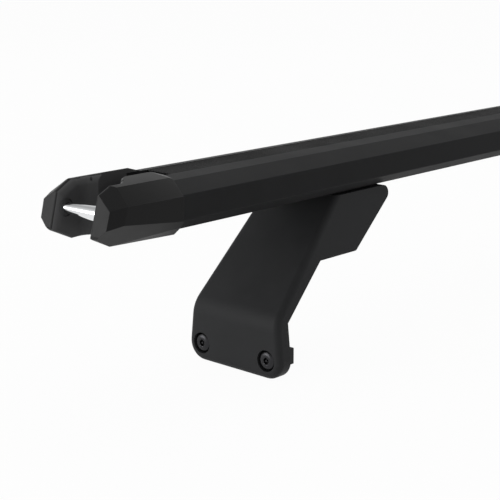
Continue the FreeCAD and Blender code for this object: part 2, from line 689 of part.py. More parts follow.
def main():
    os.makedirs("parts", exist_ok=True)
    pieces = {"bar_extrusion": bar_extrusion(), "slot_infill_strip": slot_infill_strip()}
    left_pieces = {
        "end_cap": end_cap(),
        "end_cap_screws": end_cap_screws(),
        "tie_down_pin": tie_down_pin(),
        "foot_casting": foot_casting(),
        "foot_saddle_pad": foot_saddle_pad(),
        "mounting_bolts": mounting_bolts(),
        "backing_pad": backing_pad(),
        "channel_nut": channel_nut(),
        "clamp_bolts": clamp_bolts(),
        "clamp_plate": clamp_plate(),
    }
    for name, shape in left_pieces.items():
        pieces[name + "_left"] = shape
        pieces[name + "_right"] = mirrored(shape, Vector(1, 0, 0))
    for name, shape in pieces.items():
        shape.exportStep("parts/" + name + ".step")
        print(name, "solids", len(shape.Solids), "volume", round(shape.Volume), "valid", shape.isValid())


main()
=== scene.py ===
"""Looks of a roof rack crossbar: black extruded bar, forked end caps with steel pins, and two cast feet."""

import logging
import math
from dataclasses import dataclass, field
from enum import Enum

import bmesh
import bpy
from mathutils import Matrix, Vector


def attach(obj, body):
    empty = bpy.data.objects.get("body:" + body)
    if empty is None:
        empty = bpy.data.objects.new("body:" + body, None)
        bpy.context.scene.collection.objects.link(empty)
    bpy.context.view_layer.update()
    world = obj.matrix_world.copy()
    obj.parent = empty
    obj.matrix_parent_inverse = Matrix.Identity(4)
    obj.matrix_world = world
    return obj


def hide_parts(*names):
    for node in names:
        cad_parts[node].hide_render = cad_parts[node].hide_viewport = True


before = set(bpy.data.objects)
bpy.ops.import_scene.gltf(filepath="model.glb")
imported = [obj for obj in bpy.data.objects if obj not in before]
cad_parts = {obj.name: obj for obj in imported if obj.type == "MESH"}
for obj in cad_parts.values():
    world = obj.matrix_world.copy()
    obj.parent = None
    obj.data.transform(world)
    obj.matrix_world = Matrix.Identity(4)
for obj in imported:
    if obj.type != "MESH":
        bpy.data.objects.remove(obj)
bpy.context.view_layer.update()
LOG = logging.getLogger("crossbar")
MM = 0.001
ACROSS = Matrix.Rotation(math.pi / 2, 4, "Z")  # turns the axis of a turned piece from X to Y
ARM = 20.0  # length of the straight lines beside a rounding, in millimetres
LIFT = 3.0  # how far the shape that cuts a rounding stands off its face, in millimetres
Plane = tuple[Vector, Vector, Vector]  # three points of a plane


class Side(Enum):
    """End of the bar that a piece belongs to, with the X direction of that end."""

    LEFT = -1
    RIGHT = 1

    @property
    def label(self) -> str:
        """Ending of the node names at this end."""
        return self.name.lower()

    @property
    def foot_body(self) -> str:
        """Body that the foot at this end moves with."""
        return "foot_" + self.label


class RingShape(Enum):
    """Outline of one ring of points in a turned piece."""

    CIRCLE = "circle"
    HEXAGON = "hexagon"


# shader node groups


def new_group(name: str, inputs: dict[str, float], outputs: dict[str, str]) -> bpy.types.ShaderNodeTree:
    """Start an empty shader node group with its sockets.

    Args:
        name: Name of the group.
        inputs: Name and usual value of each number that goes in.
        outputs: Name and socket type of each value that comes out.

    Returns:
        The group, with its input and output nodes in place.
    """
    group = bpy.data.node_groups.new(name, "ShaderNodeTree")
    for socket_name, value in inputs.items():
        socket = group.interface.new_socket(name=socket_name, in_out="INPUT", socket_type="NodeSocketFloat")
        socket.default_value = value
    for socket_name, socket_type in outputs.items():
        group.interface.new_socket(name=socket_name, in_out="OUTPUT", socket_type=socket_type)
    group.nodes.new("NodeGroupInput").location = (-900, 0)
    group.nodes.new("NodeGroupOutput").location = (600, 0)
    return group


class Nodes:
    """Short way to add and join nodes in one node tree."""

    def __init__(self, tree: bpy.types.NodeTree) -> None:
        """Keep the tree that the nodes go in."""
        self.tree = tree

    def add(self, kind: str, settings: dict[str, object] | None = None, **sockets: object) -> bpy.types.Node:
        """Add a node.

        Args:
            kind: Node type without its ShaderNode prefix.
            settings: Properties of the node.
            **sockets: Value or output for each input, with spaces of its name as underscores.

        Returns:
            The new node.
        """
        node = self.tree.nodes.new("ShaderNode" + kind)
        for key, value in (settings or {}).items():
            setattr(node, key, value)
        for key, value in sockets.items():
            self.feed(node.inputs[key.replace("_", " ")], value)
        return node

    def feed(self, socket: bpy.types.NodeSocket, value: object) -> None:
        """Link an output to a socket, or set the socket's value.

        Args:
            socket: Input of a node.
            value: Output or plain value.
        """
        if isinstance(value, bpy.types.NodeSocket):
            self.tree.links.new(value, socket)
        else:
            socket.default_value = value

    def math(self, operation: str, first: object, second: object = 0.0) -> bpy.types.NodeSocket:
        """Result of a two-number operation.

        Args:
            operation: Name of the operation.
            first: First number or output.
            second: Second number or output.

        Returns:
            The result.
        """
        node = self.tree.nodes.new("ShaderNodeMath")
        node.operation = operation
        self.feed(node.inputs[0], first)
        self.feed(node.inputs[1], second)
        return node.outputs[0]

    def ramp(self, value: object, low: float, high: float, start: float = 0.0,
             end: float = 1.0) -> bpy.types.NodeSocket:
        """Remap a value, and hold it beyond the ends.

        Args:
            value: The value.
            low: Where it starts.
            high: Where it ends.
            start: Result at low.
            end: Result at high.

        Returns:
            The remapped value.
        """
        node = self.add("MapRange", {"clamp": True})
        sockets = {"Value": value, "From Min": low, "From Max": high, "To Min": start, "To Max": end}
        for name, number in sockets.items():
            self.feed(node.inputs[name], number)
        return node.outputs["Result"]

    def group_ends(self) -> tuple[bpy.types.Node, bpy.types.Node]:
        """Input and output node of a group's tree."""
        return self.tree.nodes["Group Input"], self.tree.nodes["Group Output"]


def empty_nodes(owner: bpy.types.Material | bpy.types.World) -> Nodes:
    """Node tree of a material or world, cleared and ready to fill.

    Args:
        owner: The material or world.

    Returns:
        Its tree, ready for nodes.
    """
    owner.use_nodes = True
    owner.node_tree.nodes.clear()
    return Nodes(owner.node_tree)


def make_grain_group() -> bpy.types.ShaderNodeTree:
    """Fine pebbled surface of a coating or moulding: a height for bump and a slow mask.

    Returns:
        The group, with Height and Patches.
    """
    group = new_group("fine_grain", {"Scale": 900.0, "Patch Scale": 30.0},
                      {"Height": "NodeSocketFloat", "Patches": "NodeSocketFloat"})
    nodes = Nodes(group)
    ends = nodes.group_ends()
    place = nodes.add("TexCoord").outputs["Object"]
    scale = ends[0].outputs["Scale"]
    fine_share, pebble_share = 0.6, 0.5
    fine = nodes.add("TexNoise", Vector=place, Scale=scale, Detail=3.0, Roughness=0.55)
    pebble = nodes.add("TexVoronoi", {"feature": "SMOOTH_F1"}, Vector=place, Scale=scale, Smoothness=0.6)
    height = nodes.math("ADD", nodes.math("MULTIPLY", fine.outputs["Fac"], fine_share),
                        nodes.math("MULTIPLY", pebble.outputs["Distance"], pebble_share))
    patches = nodes.add("TexNoise", Vector=place, Scale=ends[0].outputs["Patch Scale"], Detail=4.0,
                        Roughness=0.5)
    group.links.new(height, ends[1].inputs["Height"])
    group.links.new(nodes.ramp(patches.outputs["Fac"], 0.3, 0.7), ends[1].inputs["Patches"])
    return group


def make_wear_and_sheen_group() -> bpy.types.ShaderNodeTree:
    """Mask of convex and concave edges, broken up as handling wears them; it also paints a sheen along the
    edges, a painted highlight on roundings.

    Returns:
        The group, with Wear.
    """
    group = new_group("edge_wear", {"Radius": 0.001, "Breakup Scale": 120.0, "Reach": 0.12},
                      {"Wear": "NodeSocketFloat"})
    nodes = Nodes(group)
    ends = nodes.group_ends()
    place = nodes.add("TexCoord").outputs["Object"]
    rounded = nodes.add("Bevel", {"samples": 4}, Radius=ends[0].outputs["Radius"])
    flat = nodes.add("NewGeometry")
    turn = nodes.add("VectorMath", {"operation": "DOT_PRODUCT"})
    nodes.feed(turn.inputs[0], rounded.outputs["Normal"])
    nodes.feed(turn.inputs[1], flat.outputs["True Normal"])
    bend = nodes.math("SUBTRACT", 1.0, turn.outputs["Value"])
    mask = nodes.math("DIVIDE", bend, ends[0].outputs["Reach"])
    breakup = nodes.add("TexNoise", Vector=place, Scale=ends[0].outputs["Breakup Scale"], Detail=4.0)
    broken = nodes.math("MULTIPLY", mask, nodes.ramp(breakup.outputs["Fac"], 0.35, 0.6, 0.35, 1.0))
    group.links.new(nodes.ramp(broken, 0.0, 1.0), ends[1].inputs["Wear"])
    return group


def make_dust_group() -> bpy.types.ShaderNodeTree:
    """Mask of the fine dust that settles on faces turned upwards.

    Returns:
        The group, with Dust.
    """
    group = new_group("settled_dust", {"Scale": 60.0, "Amount": 0.3}, {"Dust": "NodeSocketFloat"})
    nodes = Nodes(group)
    ends = nodes.group_ends()
    place = nodes.add("TexCoord").outputs["Object"]
    up = nodes.add("SeparateXYZ", Vector=nodes.add("NewGeometry").outputs["Normal"]).outputs["Z"]
    cloud = nodes.add("TexNoise", Vector=place, Scale=ends[0].outputs["Scale"], Detail=5.0, Roughness=0.6)
    upward = nodes.ramp(up, 0.3, 1.0)
    mask = nodes.math("MULTIPLY", upward, nodes.ramp(cloud.outputs["Fac"], 0.4, 0.75, 0.2, 1.0))
    group.links.new(nodes.math("MULTIPLY", mask, ends[0].outputs["Amount"]), ends[1].inputs["Dust"])
    return group


GRAIN = make_grain_group()
EDGE_WEAR_AND_SHEEN = make_wear_and_sheen_group()
DUST = make_dust_group()


# finishes


@dataclass(frozen=True)
class Finish:
    """Opaque finish with grain, edges lightened for wear and for a painted sheen, and settled dust.

    Colours are linear. Roughness runs from its low value in some patches to its high value in others.
    """

    name: str
    color: tuple[float, float, float]
    worn_and_sheen_color: tuple[float, float, float]
    dust_color: tuple[float, float, float] = (0.09, 0.088, 0.084)
    metallic: float = 0.0
    specular: float = 0.4
    rough_low: float = 0.4
    rough_high: float = 0.5
    grain_scale: float = 900.0
    grain_depth: float = 0.00004
    grain_strength: float = 0.25
    wear: float = 0.4
    wear_and_sheen_radius: float = 0.0008
    dust: float = 0.1
    patch_shade: float = 0.8
    wear_polish: float = 0.12
    dust_rough: float = 0.3

    def material(self) -> bpy.types.Material:
        """Build the material.

        Returns:
            A node material with this finish's values.
        """
        made = bpy.data.materials.new(self.name)
        nodes = empty_nodes(made)
        grain = nodes.add("Group", {"node_tree": GRAIN}, Scale=self.grain_scale)
        edge = nodes.add("Group", {"node_tree": EDGE_WEAR_AND_SHEEN}, Radius=self.wear_and_sheen_radius)
        dust = nodes.add("Group", {"node_tree": DUST}, Amount=self.dust)
        wear_and_sheen_mask = nodes.math("MULTIPLY", edge.outputs["Wear"], self.wear)
        shade = tuple(channel * self.patch_shade for channel in self.color)
        base = self.mix(nodes, grain.outputs["Patches"], shade, self.color)
        # lighter edges: partly real wear, partly a painted highlight along the roundings
        base = self.mix(nodes, wear_and_sheen_mask, base, self.worn_and_sheen_color)
        base = self.mix(nodes, dust.outputs["Dust"], base, self.dust_color)
        rough = nodes.ramp(grain.outputs["Patches"], 0.0, 1.0, self.rough_low, self.rough_high)
        rough = nodes.math("SUBTRACT", rough, nodes.math("MULTIPLY", wear_and_sheen_mask, self.wear_polish))
        rough = nodes.math("ADD", rough, nodes.math("MULTIPLY", dust.outputs["Dust"], self.dust_rough))
        bump = nodes.add("Bump", Strength=self.grain_strength, Distance=self.grain_depth,
                         Height=grain.outputs["Height"])
        shader = nodes.add("BsdfPrincipled", Base_Color=base, Roughness=rough, Normal=bump.outputs["Normal"],
                           Metallic=self.metallic, Specular_IOR_Level=self.specular)
        nodes.add("OutputMaterial", Surface=shader.outputs["BSDF"])
        return made

    @staticmethod
    def mix(nodes: Nodes, factor: object, first: object, second: object) -> bpy.types.NodeSocket:
        """Blend two colours.

        Args:
            nodes: Tree to build in.
            factor: Share of the second colour.
            first: Colour or output at factor 0.
            second: Colour or output at factor 1.

        Returns:
            Output with the blended colour.
        """
        node = nodes.add("Mix", {"data_type": "RGBA"})
        nodes.feed(node.inputs[0], factor)
        for socket, value in ((node.inputs[6], first), (node.inputs[7], second)):
            nodes.feed(socket, value if isinstance(value, bpy.types.NodeSocket) else (*value, 1.0))
        return node.outputs[2]


# The worn colours below lighten edges for wear and also as a painted sheen.
BAR_COAT = Finish("bar_powder_coat", (0.0215, 0.0218, 0.0225), (0.04, 0.041, 0.042), specular=0.045,
                  rough_low=0.5, rough_high=0.58, grain_scale=1400.0, dust=0.0)
CAP_MOULDING = Finish("cap_moulding", (0.0046, 0.0046, 0.0048), (0.016, 0.016, 0.0165), specular=0.17,
                      rough_low=0.42, rough_high=0.5, grain_scale=1700.0, grain_strength=0.35, dust=0.0)
# Painted light: a rougher, much lighter copy of the cap's moulding that brightens the shaded walls of the
# fork and slot
FORK_PAINTED_LIGHT = Finish("fork_painted_light", (0.068, 0.068, 0.069), (0.072, 0.072, 0.073), specular=0.2,
                       rough_low=0.5, rough_high=0.58, grain_scale=1700.0, grain_strength=0.35, dust=0.0)
STRIP_RUBBER = Finish("strip_rubber", (0.0055, 0.0055, 0.0057), (0.02, 0.02, 0.0205), specular=0.12,
                      rough_low=0.62, rough_high=0.74, grain_scale=800.0, wear=0.2, dust=0.0)
PAD_RUBBER = Finish("pad_rubber", (0.014, 0.014, 0.0143), (0.03, 0.03, 0.031), specular=0.25,
                    rough_low=0.6, rough_high=0.72, grain_scale=900.0, wear=0.2)
FOOT_COAT = Finish("foot_powder_coat", (0.029, 0.0295, 0.0307), (0.05, 0.051, 0.053), specular=0.1,
                   rough_low=0.5, rough_high=0.6, grain_scale=1100.0, grain_strength=0.4,
                   grain_depth=0.00006, dust=0.0)
BLACK_STEEL = Finish("black_steel", (0.034, 0.034, 0.036), (0.07, 0.07, 0.072), metallic=1.0,
                     rough_low=0.24, rough_high=0.32, grain_scale=2200.0, grain_strength=0.15,
                     wear=0.5, wear_and_sheen_radius=0.0005)
BRIGHT_PIN = Finish("polished_pin", (0.86, 0.87, 0.88), (0.9, 0.9, 0.9), metallic=1.0,
                    rough_low=0.05, rough_high=0.1, grain_scale=2600.0, grain_strength=0.04,
                    wear=0.2, dust=0.0)
ZINC = Finish("zinc_plate", (0.55, 0.56, 0.58), (0.75, 0.75, 0.76), metallic=1.0,
              rough_low=0.28, rough_high=0.42, grain_scale=1500.0, grain_strength=0.15, wear=0.4)


class Paintbox:
    """Materials by finish, each built once."""

    def __init__(self) -> None:
        """Start with nothing mixed."""
        self.made: dict[str, bpy.types.Material] = {}

    def get(self, finish: Finish) -> bpy.types.Material:
        """Material of a finish, built at its first use.

        Args:
            finish: The finish.

        Returns:
            Its material.
        """
        if finish.name not in self.made:
            self.made[finish.name] = finish.material()
        return self.made[finish.name]

    def dress(self, node: str, finish: Finish) -> None:
        """Give a construction node a finish.

        Args:
            node: Name of the node.
            finish: Its finish.
        """
        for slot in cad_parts[node].material_slots:
            slot.material = self.get(finish)
        LOG.info("dressed %s with %s", node, finish.name)


# turned pieces


@dataclass(frozen=True)
class Ring:
    """One ring of a turned piece: how far along the axis, how far out, and its outline."""

    along: float
    radius: float
    shape: RingShape = RingShape.CIRCLE


@dataclass
class Turning:
    """Closed piece made of rings about an axis, with a flat face at each end."""

    segments: int = 48
    rings: list[list[Vector]] = field(default_factory=list)

    def add(self, ring: Ring) -> None:
        """Add a plain ring."""
        self.rings.append([self.point(ring, step) for step in range(self.segments)])

    def point(self, ring: Ring, step: int) -> Vector:
        """Point of a ring, with the axis along X.

        Args:
            ring: The ring.
            step: Which of its points.

        Returns:
            The point in millimetres.
        """
        angle = 2 * math.pi * step / self.segments
        radius = ring.radius
        if ring.shape is RingShape.HEXAGON:
            radius = ring.radius / math.cos((angle + math.pi / 6) % (math.pi / 3) - math.pi / 6)
        return Vector((ring.along, radius * math.cos(angle), radius * math.sin(angle)))

    def thread(self, start: float, end: float, outer: float, depth: float, pitch: float) -> None:
        """Add a helical thread.

        Args:
            start: Where it starts along the axis.
            end: Where it ends.
            outer: Radius over the crests.
            depth: Depth of the roots below the crests.
            pitch: Distance from crest to crest.
        """
        rows_a_turn, last_depth, steepness, root_flat = 8, 0.35, 2.3, 0.1
        steps = int((end - start) / pitch * rows_a_turn)
        for row in range(steps + 1):
            along = start + (end - start) * row / steps
            fade = min(1.0, (along - start) / pitch, (end - along) / pitch + last_depth)
            points = []
            for step in range(self.segments):
                turn = (along / pitch - step / self.segments) % 1.0
                rise = min(1.0, max(0.0, steepness * abs(turn - 0.5) - root_flat))
                points.append(self.point(Ring(along, outer - depth * (1.0 - rise) * fade), step))
            self.rings.append(points)

    def build(self, name: str, scale: float = MM) -> bpy.types.Object:
        """Join the rings into a mesh object.

        Args:
            name: Name of the object.
            scale: Length of a millimetre in the object.

        Returns:
            The object.
        """
        mesh = bmesh.new()
        skin(mesh, [[mesh.verts.new(point * scale) for point in ring] for ring in self.rings])
        return finished_object(name, mesh)


def skin(mesh: bmesh.types.BMesh, rows: list[list[bmesh.types.BMVert]]) -> None:
    """Close a tube of rings with the same number of points, and both of its ends.

    Args:
        mesh: Mesh that the rings are in.
        rows: The rings, from one end to the other.
    """
    count = len(rows[0])
    for first, second in zip(rows, rows[1:]):
        for step in range(count):
            after = (step + 1) % count
            mesh.faces.new((first[step], first[after], second[after], second[step]))
    mesh.faces.new(list(reversed(rows[0])))
    mesh.faces.new(rows[-1])
    bmesh.ops.recalc_face_normals(mesh, faces=mesh.faces)


def prism(name: str, first: list[Vector], second: list[Vector]) -> bpy.types.Object:
    """Solid between two outlines with the same number of corners.

    Args:
        name: Name of the object.
        first: Outline of one end.
        second: Outline of the other end.

    Returns:
        The solid.
    """
    mesh = bmesh.new()
    skin(mesh, [[mesh.verts.new(point) for point in outline] for outline in (first, second)])
    return finished_object(name, mesh)


def mirrored_across(point: Vector) -> Vector:
    """Mirror image of a point in the plane y = 0."""
    return Vector((point.x, -point.y, point.z))


def upward_normal(plane: Plane) -> Vector:
    """Normal of a plane, pointing up."""
    normal = (plane[1] - plane[0]).cross(plane[2] - plane[0]).normalized()
    return normal if normal.z > 0 else -normal


def slice_off(mesh: bmesh.types.BMesh, plane: Plane, kept: Vector) -> None:
    """Cut a body along a plane and close the cut.

    Args:
        mesh: Convex body.
        plane: The plane.
        kept: A point on the side that stays.
    """
    first, second, third = plane
    normal = (second - first).cross(third - first).normalized()
    if (kept - first).dot(normal) > 0:
        normal.negate()
    whole = list(mesh.verts) + list(mesh.edges) + list(mesh.faces)
    cut = bmesh.ops.bisect_plane(mesh, geom=whole, dist=0.0001, plane_co=first, plane_no=normal,
                                 clear_outer=True)
    rim = [item for item in cut["geom_cut"] if isinstance(item, bmesh.types.BMEdge)]
    bmesh.ops.contextual_create(mesh, geom=rim)


def rounded_corner(before: Vector, corner: Vector, after: Vector, radius: float,
                   steps: int = 10) -> list[Vector]:
    """Points of the arc that rounds a corner of a flat outline.

    Args:
        before: Point on the outline before the corner.
        corner: The corner.
        after: Point on the outline after the corner.
        radius: Radius of the arc.
        steps: Number of chords.

    Returns:
        Points from the start of the arc to its end.
    """
    back, onward = (before - corner).normalized(), (after - corner).normalized()
    half = back.angle(onward) / 2
    centre = corner + (back + onward).normalized() * (radius / math.sin(half))
    start = corner + back * (radius / math.tan(half)) - centre
    end = corner + onward * (radius / math.tan(half)) - centre
    return [centre + start.slerp(end, step / steps) * radius for step in range(steps + 1)]


def evaluated_mesh(piece: bpy.types.Object) -> bpy.types.Mesh:
    """Copy of an object's mesh with its modifiers worked in."""
    graph = bpy.context.evaluated_depsgraph_get()
    return bpy.data.meshes.new_from_object(piece.evaluated_get(graph), depsgraph=graph)


def carved(body: bpy.types.Object, cutters: list[bpy.types.Object], name: str) -> bpy.types.Object:
    """Cut shapes out of a body, one after another.

    Args:
        body: The body.
        cutters: Shapes to cut out, removed here.
        name: Name of the result.

    Returns:
        The carved body.
    """
    for cutter in cutters:
        step = body.modifiers.new(cutter.name, "BOOLEAN")
        step.operation = "DIFFERENCE"
        step.solver = "EXACT"
        step.object = cutter
        shape = evaluated_mesh(body)
        body.modifiers.clear()
        body.data = shape
        bpy.data.objects.remove(cutter)
    body.name = name
    body.data.name = name
    return body


def shade_smooth(mesh: bmesh.types.BMesh, sharp_degrees: float) -> None:
    """Shade a mesh smoothly, with its sharp edges kept.

    Args:
        mesh: The mesh.
        sharp_degrees: Edges that bend more than this stay sharp.
    """
    for face in mesh.faces:
        face.smooth = True
    for edge in mesh.edges:
        edge.smooth = edge.calc_face_angle(math.pi) < math.radians(sharp_degrees)


def settle_normals(piece: bpy.types.Object) -> None:
    """Keep flat faces flat and let narrow roundings shade smoothly between them.

    Args:
        piece: Object to shade, with its mesh in metres.
    """
    merged, degenerate = 0.000004, 0.000002
    mesh = bmesh.new()
    mesh.from_mesh(piece.data)
    bmesh.ops.remove_doubles(mesh, verts=mesh.verts, dist=merged)
    bmesh.ops.dissolve_degenerate(mesh, dist=degenerate, edges=mesh.edges)
    open_edges = sum(not edge.is_manifold for edge in mesh.edges)
    LOG.info("%s has %d faces and %d open edges", piece.name, len(mesh.faces), open_edges)
    shade_smooth(mesh, 26.0)
    mesh.to_mesh(piece.data)
    mesh.free()
    weighting = piece.modifiers.new("weighted_normals", "WEIGHTED_NORMAL")
    weighting.keep_sharp = True
    weighting.weight = 90


def finished_object(name: str, mesh: bmesh.types.BMesh) -> bpy.types.Object:
    """Turn a bmesh into a smooth-shaded object whose sharp edges stay sharp.

    Args:
        name: Name of the object.
        mesh: Its shape, freed here.

    Returns:
        The object, linked to the scene.
    """
    shade_smooth(mesh, 35.0)
    data = bpy.data.meshes.new(name)
    mesh.to_mesh(data)
    mesh.free()
    piece = bpy.data.objects.new(name, data)
    bpy.context.scene.collection.objects.link(piece)
    return piece


# sub-assemblies


@dataclass(frozen=True)
class BarSection:
    """Section of the bar at y > 0. Sizes are in millimetres, and heights are measured from its underside."""

    underside: float = 119.3
    half: float = 40.0
    ridge: float = 23.0
    low: float = 7.5
    keel_half: float = 30.4
    top_half: float = 22.4
    top: float = 29.0
    crown_slope: float = 0.135
    crown_angle: float = 0.134
    slot_edge: float = 30.4985
    slot_depth: float = 15.0

    @property
    def slot_floor(self) -> float:
        """Height of the slot's floor."""
        return self.slot_edge - self.slot_depth


@dataclass
class LoadBar:
    """Extruded bar with the ribbed strip in its top slot. Sizes are in millimetres."""

    paint: Paintbox
    bar: BarSection = BarSection()
    strip_half: float = 11.15
    strip_drop: float = 0.3
    strip_skin: float = 3.0
    strip_keel_half: float = 4.0
    strip_end: float = 688.0
    ribs: int = 9
    groove: float = 0.9
    groove_depth: float = 0.6

    def build(self) -> None:
        """Dress the bar and build its strip."""
        self.paint.dress("bar_extrusion", BAR_COAT)
        self.build_strip()

    def strip_outline(self) -> list[Vector]:
        """Section of the strip, across the bar and up from the slot's edge, all the way round.

        Returns:
            Corners of the section.
        """
        top, keel = -self.strip_drop, self.strip_keel_half
        under = top - self.strip_skin
        half = [Vector((keel, -self.bar.slot_depth)), Vector((keel, under)),
                Vector((self.strip_half, under)), Vector((self.strip_half, top))]
        groove_shape = ((0.5, 0.0), (0.25, 1.0), (-0.25, 1.0), (-0.5, 0.0))
        grooves = []
        for rib in range(1, self.ribs):
            middle = self.strip_half * (1.0 - 2.0 * rib / self.ribs)
            for aside, depth in groove_shape:
                grooves.append(Vector((middle + aside * self.groove, top - depth * self.groove_depth)))
        return half + grooves + [Vector((-point.x, point.y)) for point in reversed(half)]

    def build_strip(self) -> None:
        """Draw the strip out along the slot and put it in the stead of the plain one."""
        outline = self.strip_outline()
        edge = self.bar.underside + self.bar.slot_edge
        ends = []
        for end in (-self.strip_end, self.strip_end):
            ends.append([Vector((end, point.x, edge + point.y)) * MM for point in outline])
        piece = prism("ribbed_slot_infill_strip", *ends)
        piece.data.materials.append(self.paint.get(STRIP_RUBBER))
        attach(piece, "bar")
        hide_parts("slot_infill_strip")
        LOG.info("built %s", piece.name)


class CapCorner(Enum):
    """Corner of the cap's section at y > 0, from the top middle round to the bottom middle."""

    ROOF = "roof"
    SHOULDER = "shoulder"
    RIDGE = "ridge"
    LOW = "low"
    KEEL = "keel"
    FLOOR = "floor"


@dataclass(frozen=True)
class Nose:
    """Corners of the cap's nose: from the tip, and in from the bar's corners. Sizes are in millimetres."""

    high_inset: float = 4.6
    high_in: float = 9.8
    high_drop: float = 3.7
    low_inset: float = 1.6
    low_in: float = 10.1
    low_rise: float = 0.6
    keel_in: float = 17.5
    keel_height: float = 2.0
    side_start: float = 14.1
    shoulder_start: float = 17.5
    floor_start: float = 14.8
    floor_fall: float = 7.19
    rake: float = 0.265
    tip_radius: float = 3.0


@dataclass(frozen=True)
class Rear:
    """Slanted rear of the cap, with a ramp down to the bar. Sizes are in millimetres."""

    side: float = 54.6
    centre: float = 67.7
    slot_half: float = 11.3
    ramp: float = 11.5
    ramp_outer: float = 7.0
    floor_lead: float = 5.5
    floor_tail: float = 1.0


@dataclass(frozen=True)
class Fork:
    """Gap between the two prongs of the cap, whose walls lean in to the tips. Sizes are in millimetres."""

    half: float = 17.0
    half_mouth: float = 15.8
    root: float = 31.7
    corner: float = 6.6
    corner_radius: float = 9.0
    ahead: float = 10.0
    notch_half: float = 10.4
    near_rim: float = 2.2
    far_rim: float = 5.0
    floor_rim: float = 1.2

    @property
    def lean(self) -> float:
        """Lean of the inner walls, per millimetre along the bar."""
        return (self.half - self.half_mouth) / (self.root - self.corner)

    @property
    def inwards(self) -> Vector:
        """Direction out of the inner wall at y > 0, into the gap."""
        return Vector((self.lean, -1.0, 0.0))

    def wall(self, inset: float) -> float:
        """Half the gap at a distance from the tips."""
        return self.half_mouth + self.lean * inset

    def outline(self) -> list[Vector]:
        """Outline of the gap at y > 0, as inset and across, from in front of the tips to the slot.

        Returns:
            Points of the outline.
        """
        start = Vector((-self.ahead, self.wall(-self.ahead)))
        corner = Vector((self.root - self.corner, self.half))
        slot = Vector((self.root, self.notch_half))
        return [start] + rounded_corner(start, corner, slot, self.corner_radius) + [slot]


@dataclass(frozen=True)
class PaintedLightWalls:
    """Which faces of the cap count as walls of the fork and of the slot, where light is painted on. Lengths
    are in millimetres.
    """

    least_turn: float = 0.4
    root_start: float = 20.0
    past_root: float = 0.5
    slot_margin: float = 0.2
    slot_turn: float = 0.9


